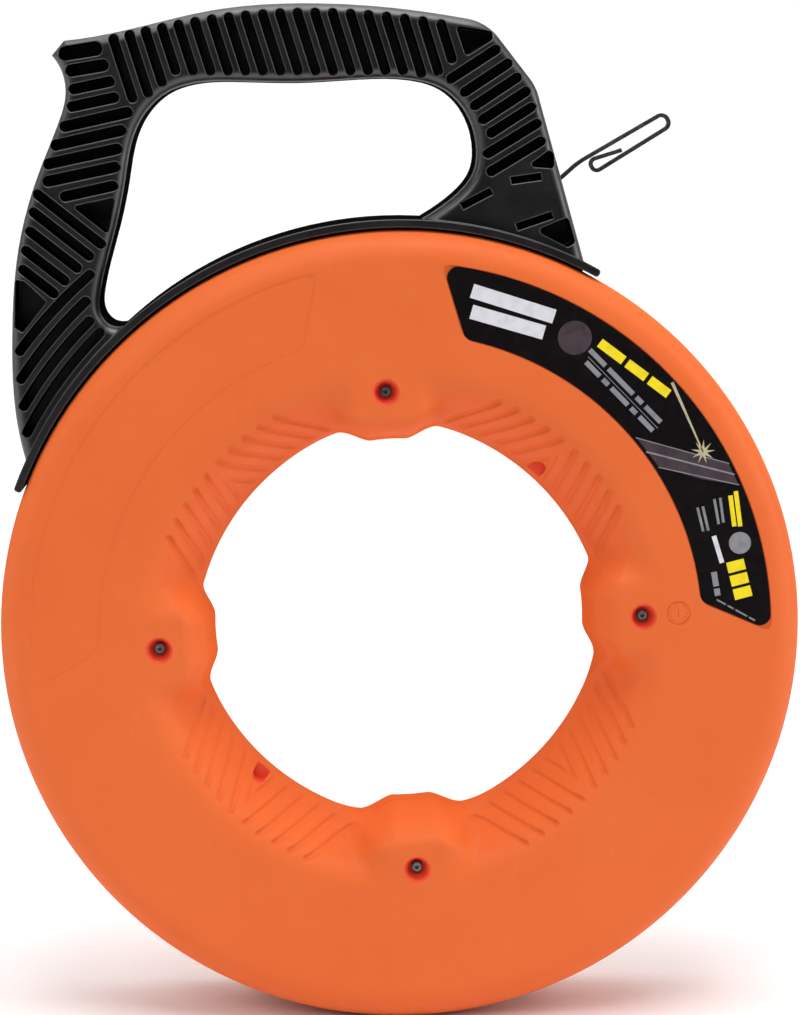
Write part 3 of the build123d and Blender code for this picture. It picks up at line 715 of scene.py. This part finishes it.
def case_half(name, orange, painted_glow_red, front):
    """A case half in the front one's place. The rear one has neither screw recesses nor a dial."""
    shell = case_mesh(name, orange)
    recess = label_outline(RECESS_GAP, LABEL_FROM, LABEL_TO)
    panel = label_outline(0.0, PANEL_FROM, PANEL_TO)
    cutters = [
        prism("label_recess", recess, HALF_W - LABEL_POCKET, ABOVE, orange),
        prism("panel", panel, HALF_W - PANEL_DEPTH, ABOVE, orange),
    ]
    for angle in NOTCH_ANGLES:
        # the notches' insides get the darker, glowing red: painted shade and painted glow
        cutters.append(prism("notch", notch_outline(angle), NOTCH_FLOOR, ABOVE, painted_glow_red))
    if front:
        # the screw recesses' insides get the same painted shade and painted glow
        cutters += [screw_recess(polar(SCREW_R, angle), painted_glow_red) for angle in SCREW_ANGLES]
        cutters += dial_cutters(orange)
    cut(shell, joined("cutters", cutters))
    for polygon in shell.data.polygons:
        polygon.use_smooth = abs(polygon.normal.y) < 0.99999
    shell.data.set_sharp_from_angle(angle=math.radians(42))
    return shell


def dial_cutters(orange):
    """A moulder's date dial: a ring, twelve dots and a pointer."""
    dial = polar(*DIAL_AT)
    inner_r = DIAL_R - 0.5
    ring_floor = HALF_W - 0.25
    dot_floor = HALF_W - 0.2
    ring = [(inner_r, ring_floor), (DIAL_R, ring_floor), (DIAL_R, ABOVE), (inner_r, ABOVE)]
    cutters = [revolved("dial", dial, ring, orange)]
    for tick in range(12):
        x, z = polar(DIAL_R - 1.4, 30 * tick)
        spot = circle_outline((dial[0] + x, dial[1] + z), 0.3, 10)
        cutters.append(prism("tick", spot, dot_floor, ABOVE, orange))
    pointer = [(dial[0] - 0.3, dial[1] - 1.5), (dial[0] + 0.3, dial[1] - 1.5), (dial[0], dial[1] + 1.8)]
    cutters.append(prism("pointer", pointer, dot_floor, ABOVE, orange))
    return cutters


def turned_over(thing):
    """Turns a front piece over about the line through two screws, to be its twin on the rear."""
    tilt = math.radians(TILT)
    centre = Matrix.Translation((0, 0, REEL_Z * MM))
    turn = Matrix.Rotation(-tilt, 4, "Y") @ Matrix.Rotation(math.pi, 4, "X") @ Matrix.Rotation(tilt, 4, "Y")
    thing.data.transform(centre @ turn @ centre.inverted())


orange = case_material()
# darker red with a faint emission for the notches and screw recesses: painted shade and painted glow
painted_glow_red = painted_glow_recess_material()
front_case = case_half("case_front", orange, painted_glow_red, True)
rear_case = case_half("case_rear", orange, painted_glow_red, False)
turned_over(rear_case)
for case, replaced in ((front_case, "front_case_half"), (rear_case, "rear_case_half")):
    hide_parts(replaced)
    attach(case, "reel")

# ---------------------------------------------------------------- finishes of the CAD nodes
steel = steel_material("tape_steel", (0.055, 0.052, 0.05), (0.12, 0.115, 0.11), 0.38, (1, 12, 1))
screw_steel = steel_material("screw_steel", (0.10, 0.095, 0.095), (0.22, 0.21, 0.21), 0.36, (1, 1, 1))
finishes = {
    "front_label": film_material("label_black", (0.0055, 0.0042, 0.0048), (0.009, 0.007, 0.008), 0.36),
    "tape_coil": steel,
    "tape_feed": steel,
    "tape_leader": steel,
    "anchor_pin": screw_steel,
    "tape_anchor": screw_steel,
    "handle": handle_material(),
    "nose_guide": guide_material(),
}
finishes["rear_label"] = finishes["front_label"]
for place in ("right", "top", "left", "bottom"):
    finishes["case_screw_" + place] = screw_steel
for name, finish in finishes.items():
    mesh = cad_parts[name].data
    mesh.materials.clear()
    mesh.materials.append(finish)


# ---------------------------------------------------------------- the labels' print
def stroke(one, two, height, end_height=None):
    """The outline of a straight bar between two points, which may taper."""
    along = (two - one).normalized()
    side = Vector((-along.y, along.x))
    near = side * height / 2
    far = side * (end_height or height) / 2
    return [tuple(one - near), tuple(two - far), tuple(two + far), tuple(one + near)]


def bar(start, end, height, end_height=None):
    """A printed bar between two (radius, angle) places."""
    return stroke(Vector(polar(*start)), Vector(polar(*end)), height, end_height)


def words(start, end, height, lengths, gap=1.6):
    """A row of plain blocks where the print has words, with these relative lengths."""
    one, two = Vector(polar(*start)), Vector(polar(*end))
    along = (two - one).normalized()
    scale = ((two - one).length - gap * (len(lengths) - 1)) / sum(lengths)
    made = []
    at = one
    for length in lengths:
        past = at + along * length * scale
        made.append(stroke(at, past, height))
        at = past + along * gap
    return made


def star(at, points, out, waist):
    """A plain star with this many points."""
    made = []
    for number in range(2 * points):
        x, z = polar(out if number % 2 == 0 else waist, 180 * number / points + 8)
        made.append((at[0] + x, at[1] + z))
    return made


def printed(name, outlines, ink, lift):
    """Thin printed shapes on both labels, this high above the film."""
    things = [prism(name, outline, FILM_TOP - INK_SUNK, FILM_TOP + lift, ink) for outline in outlines]
    front = joined("front_" + name, things)
    rear = bpy.data.objects.new("rear_" + name, front.data.copy())
    bpy.context.scene.collection.objects.link(rear)
    turned_over(rear)
    for thing in (front, rear):
        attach(thing, "reel")


white = film_material("ink_white", (0.72, 0.72, 0.77), (0.62, 0.62, 0.68), 0.4)
yellow = film_material("ink_yellow", (0.92, 0.74, 0.025), (0.80, 0.62, 0.03), 0.4)
grey = film_material("ink_grey", (0.27, 0.27, 0.29), (0.20, 0.20, 0.22), 0.4)
band = film_material("ink_band", (0.070, 0.052, 0.060), (0.045, 0.034, 0.040), 0.4)
glow = film_material("ink_glow", (0.52, 0.47, 0.30), (0.42, 0.38, 0.26), 0.4)

printed("band", [[
    polar(115.6, 40.2), polar(127.5, 33.0), polar(139.2, 27.8),
    polar(139.2, 23.9), polar(127.0, 27.6), polar(115.8, 33.4),
]], band, THIN_INK)
printed("white", [
    bar((132.5, 78.6), (133.0, 64.6), 5.4),
    bar((124.8, 78.0), (126.0, 65.0), 5.4),
    bar((123.8, 17.4), (124.3, 12.4), 1.8),
], white, INK)
printed("yellow", (
    words((133.0, 56.1), (135.4, 42.2), 3.6, (5, 4, 4))
    + [
        bar((137.3, 23.2), (134.4, 17.6), 1.7),
        bar((134.8, 22.9), (132.3, 17.9), 1.7),
    ]
    + words((129.2, 12.3), (130.6, 5.8), 6.8, (1, 1, 1), 1.1)
), yellow, INK)
printed("grey", (
    words((128.7, 56.8), (126.3, 39.5), 1.9, (5, 8, 2, 5))
    + words((124.1, 56.2), (122.0, 39.2), 1.9, (5, 2, 6, 2, 5))
    + [
        bar((130.9, 23.2), (128.8, 19.1), 1.0),
        bar((128.7, 23.4), (126.9, 19.1), 1.0),
        bar((123.6, 23.0), (122.4, 18.6), 1.0),
        bar((121.6, 23.2), (120.5, 18.8), 1.0),
    ]
    + words((120.6, 11.1), (120.8, 6.7), 2.2, (2, 1), 0.9)
    + words((120.3, 6.0), (134.4, 1.9), 0.6, (3, 2, 4, 2), 0.8)
    + [
        bar((126.2, 56.4), (124.0, 39.0), 0.25),
        bar((115.4, 40.2), (139.4, 27.6), 0.35),
        bar((115.2, 36.9), (139.4, 25.7), 0.6),
        bar((115.6, 33.2), (139.4, 23.9), 0.35),
        circle_outline(polar(132.6, 15.0), 4.2),
    ]
), grey, THICK_INK)
printed("disc", [circle_outline(polar(129.6, 60.0), 6.4)], band, THIN_INK)
printed("glow", [
    bar((139.3, 43.2), (132.9, 31.3), 1.2, 0.5),
    star(polar(132.9, 31.3), 9, 4.6, 1.5),
], glow, GLOW_INK)

camera()
studio()
paper_sweep()
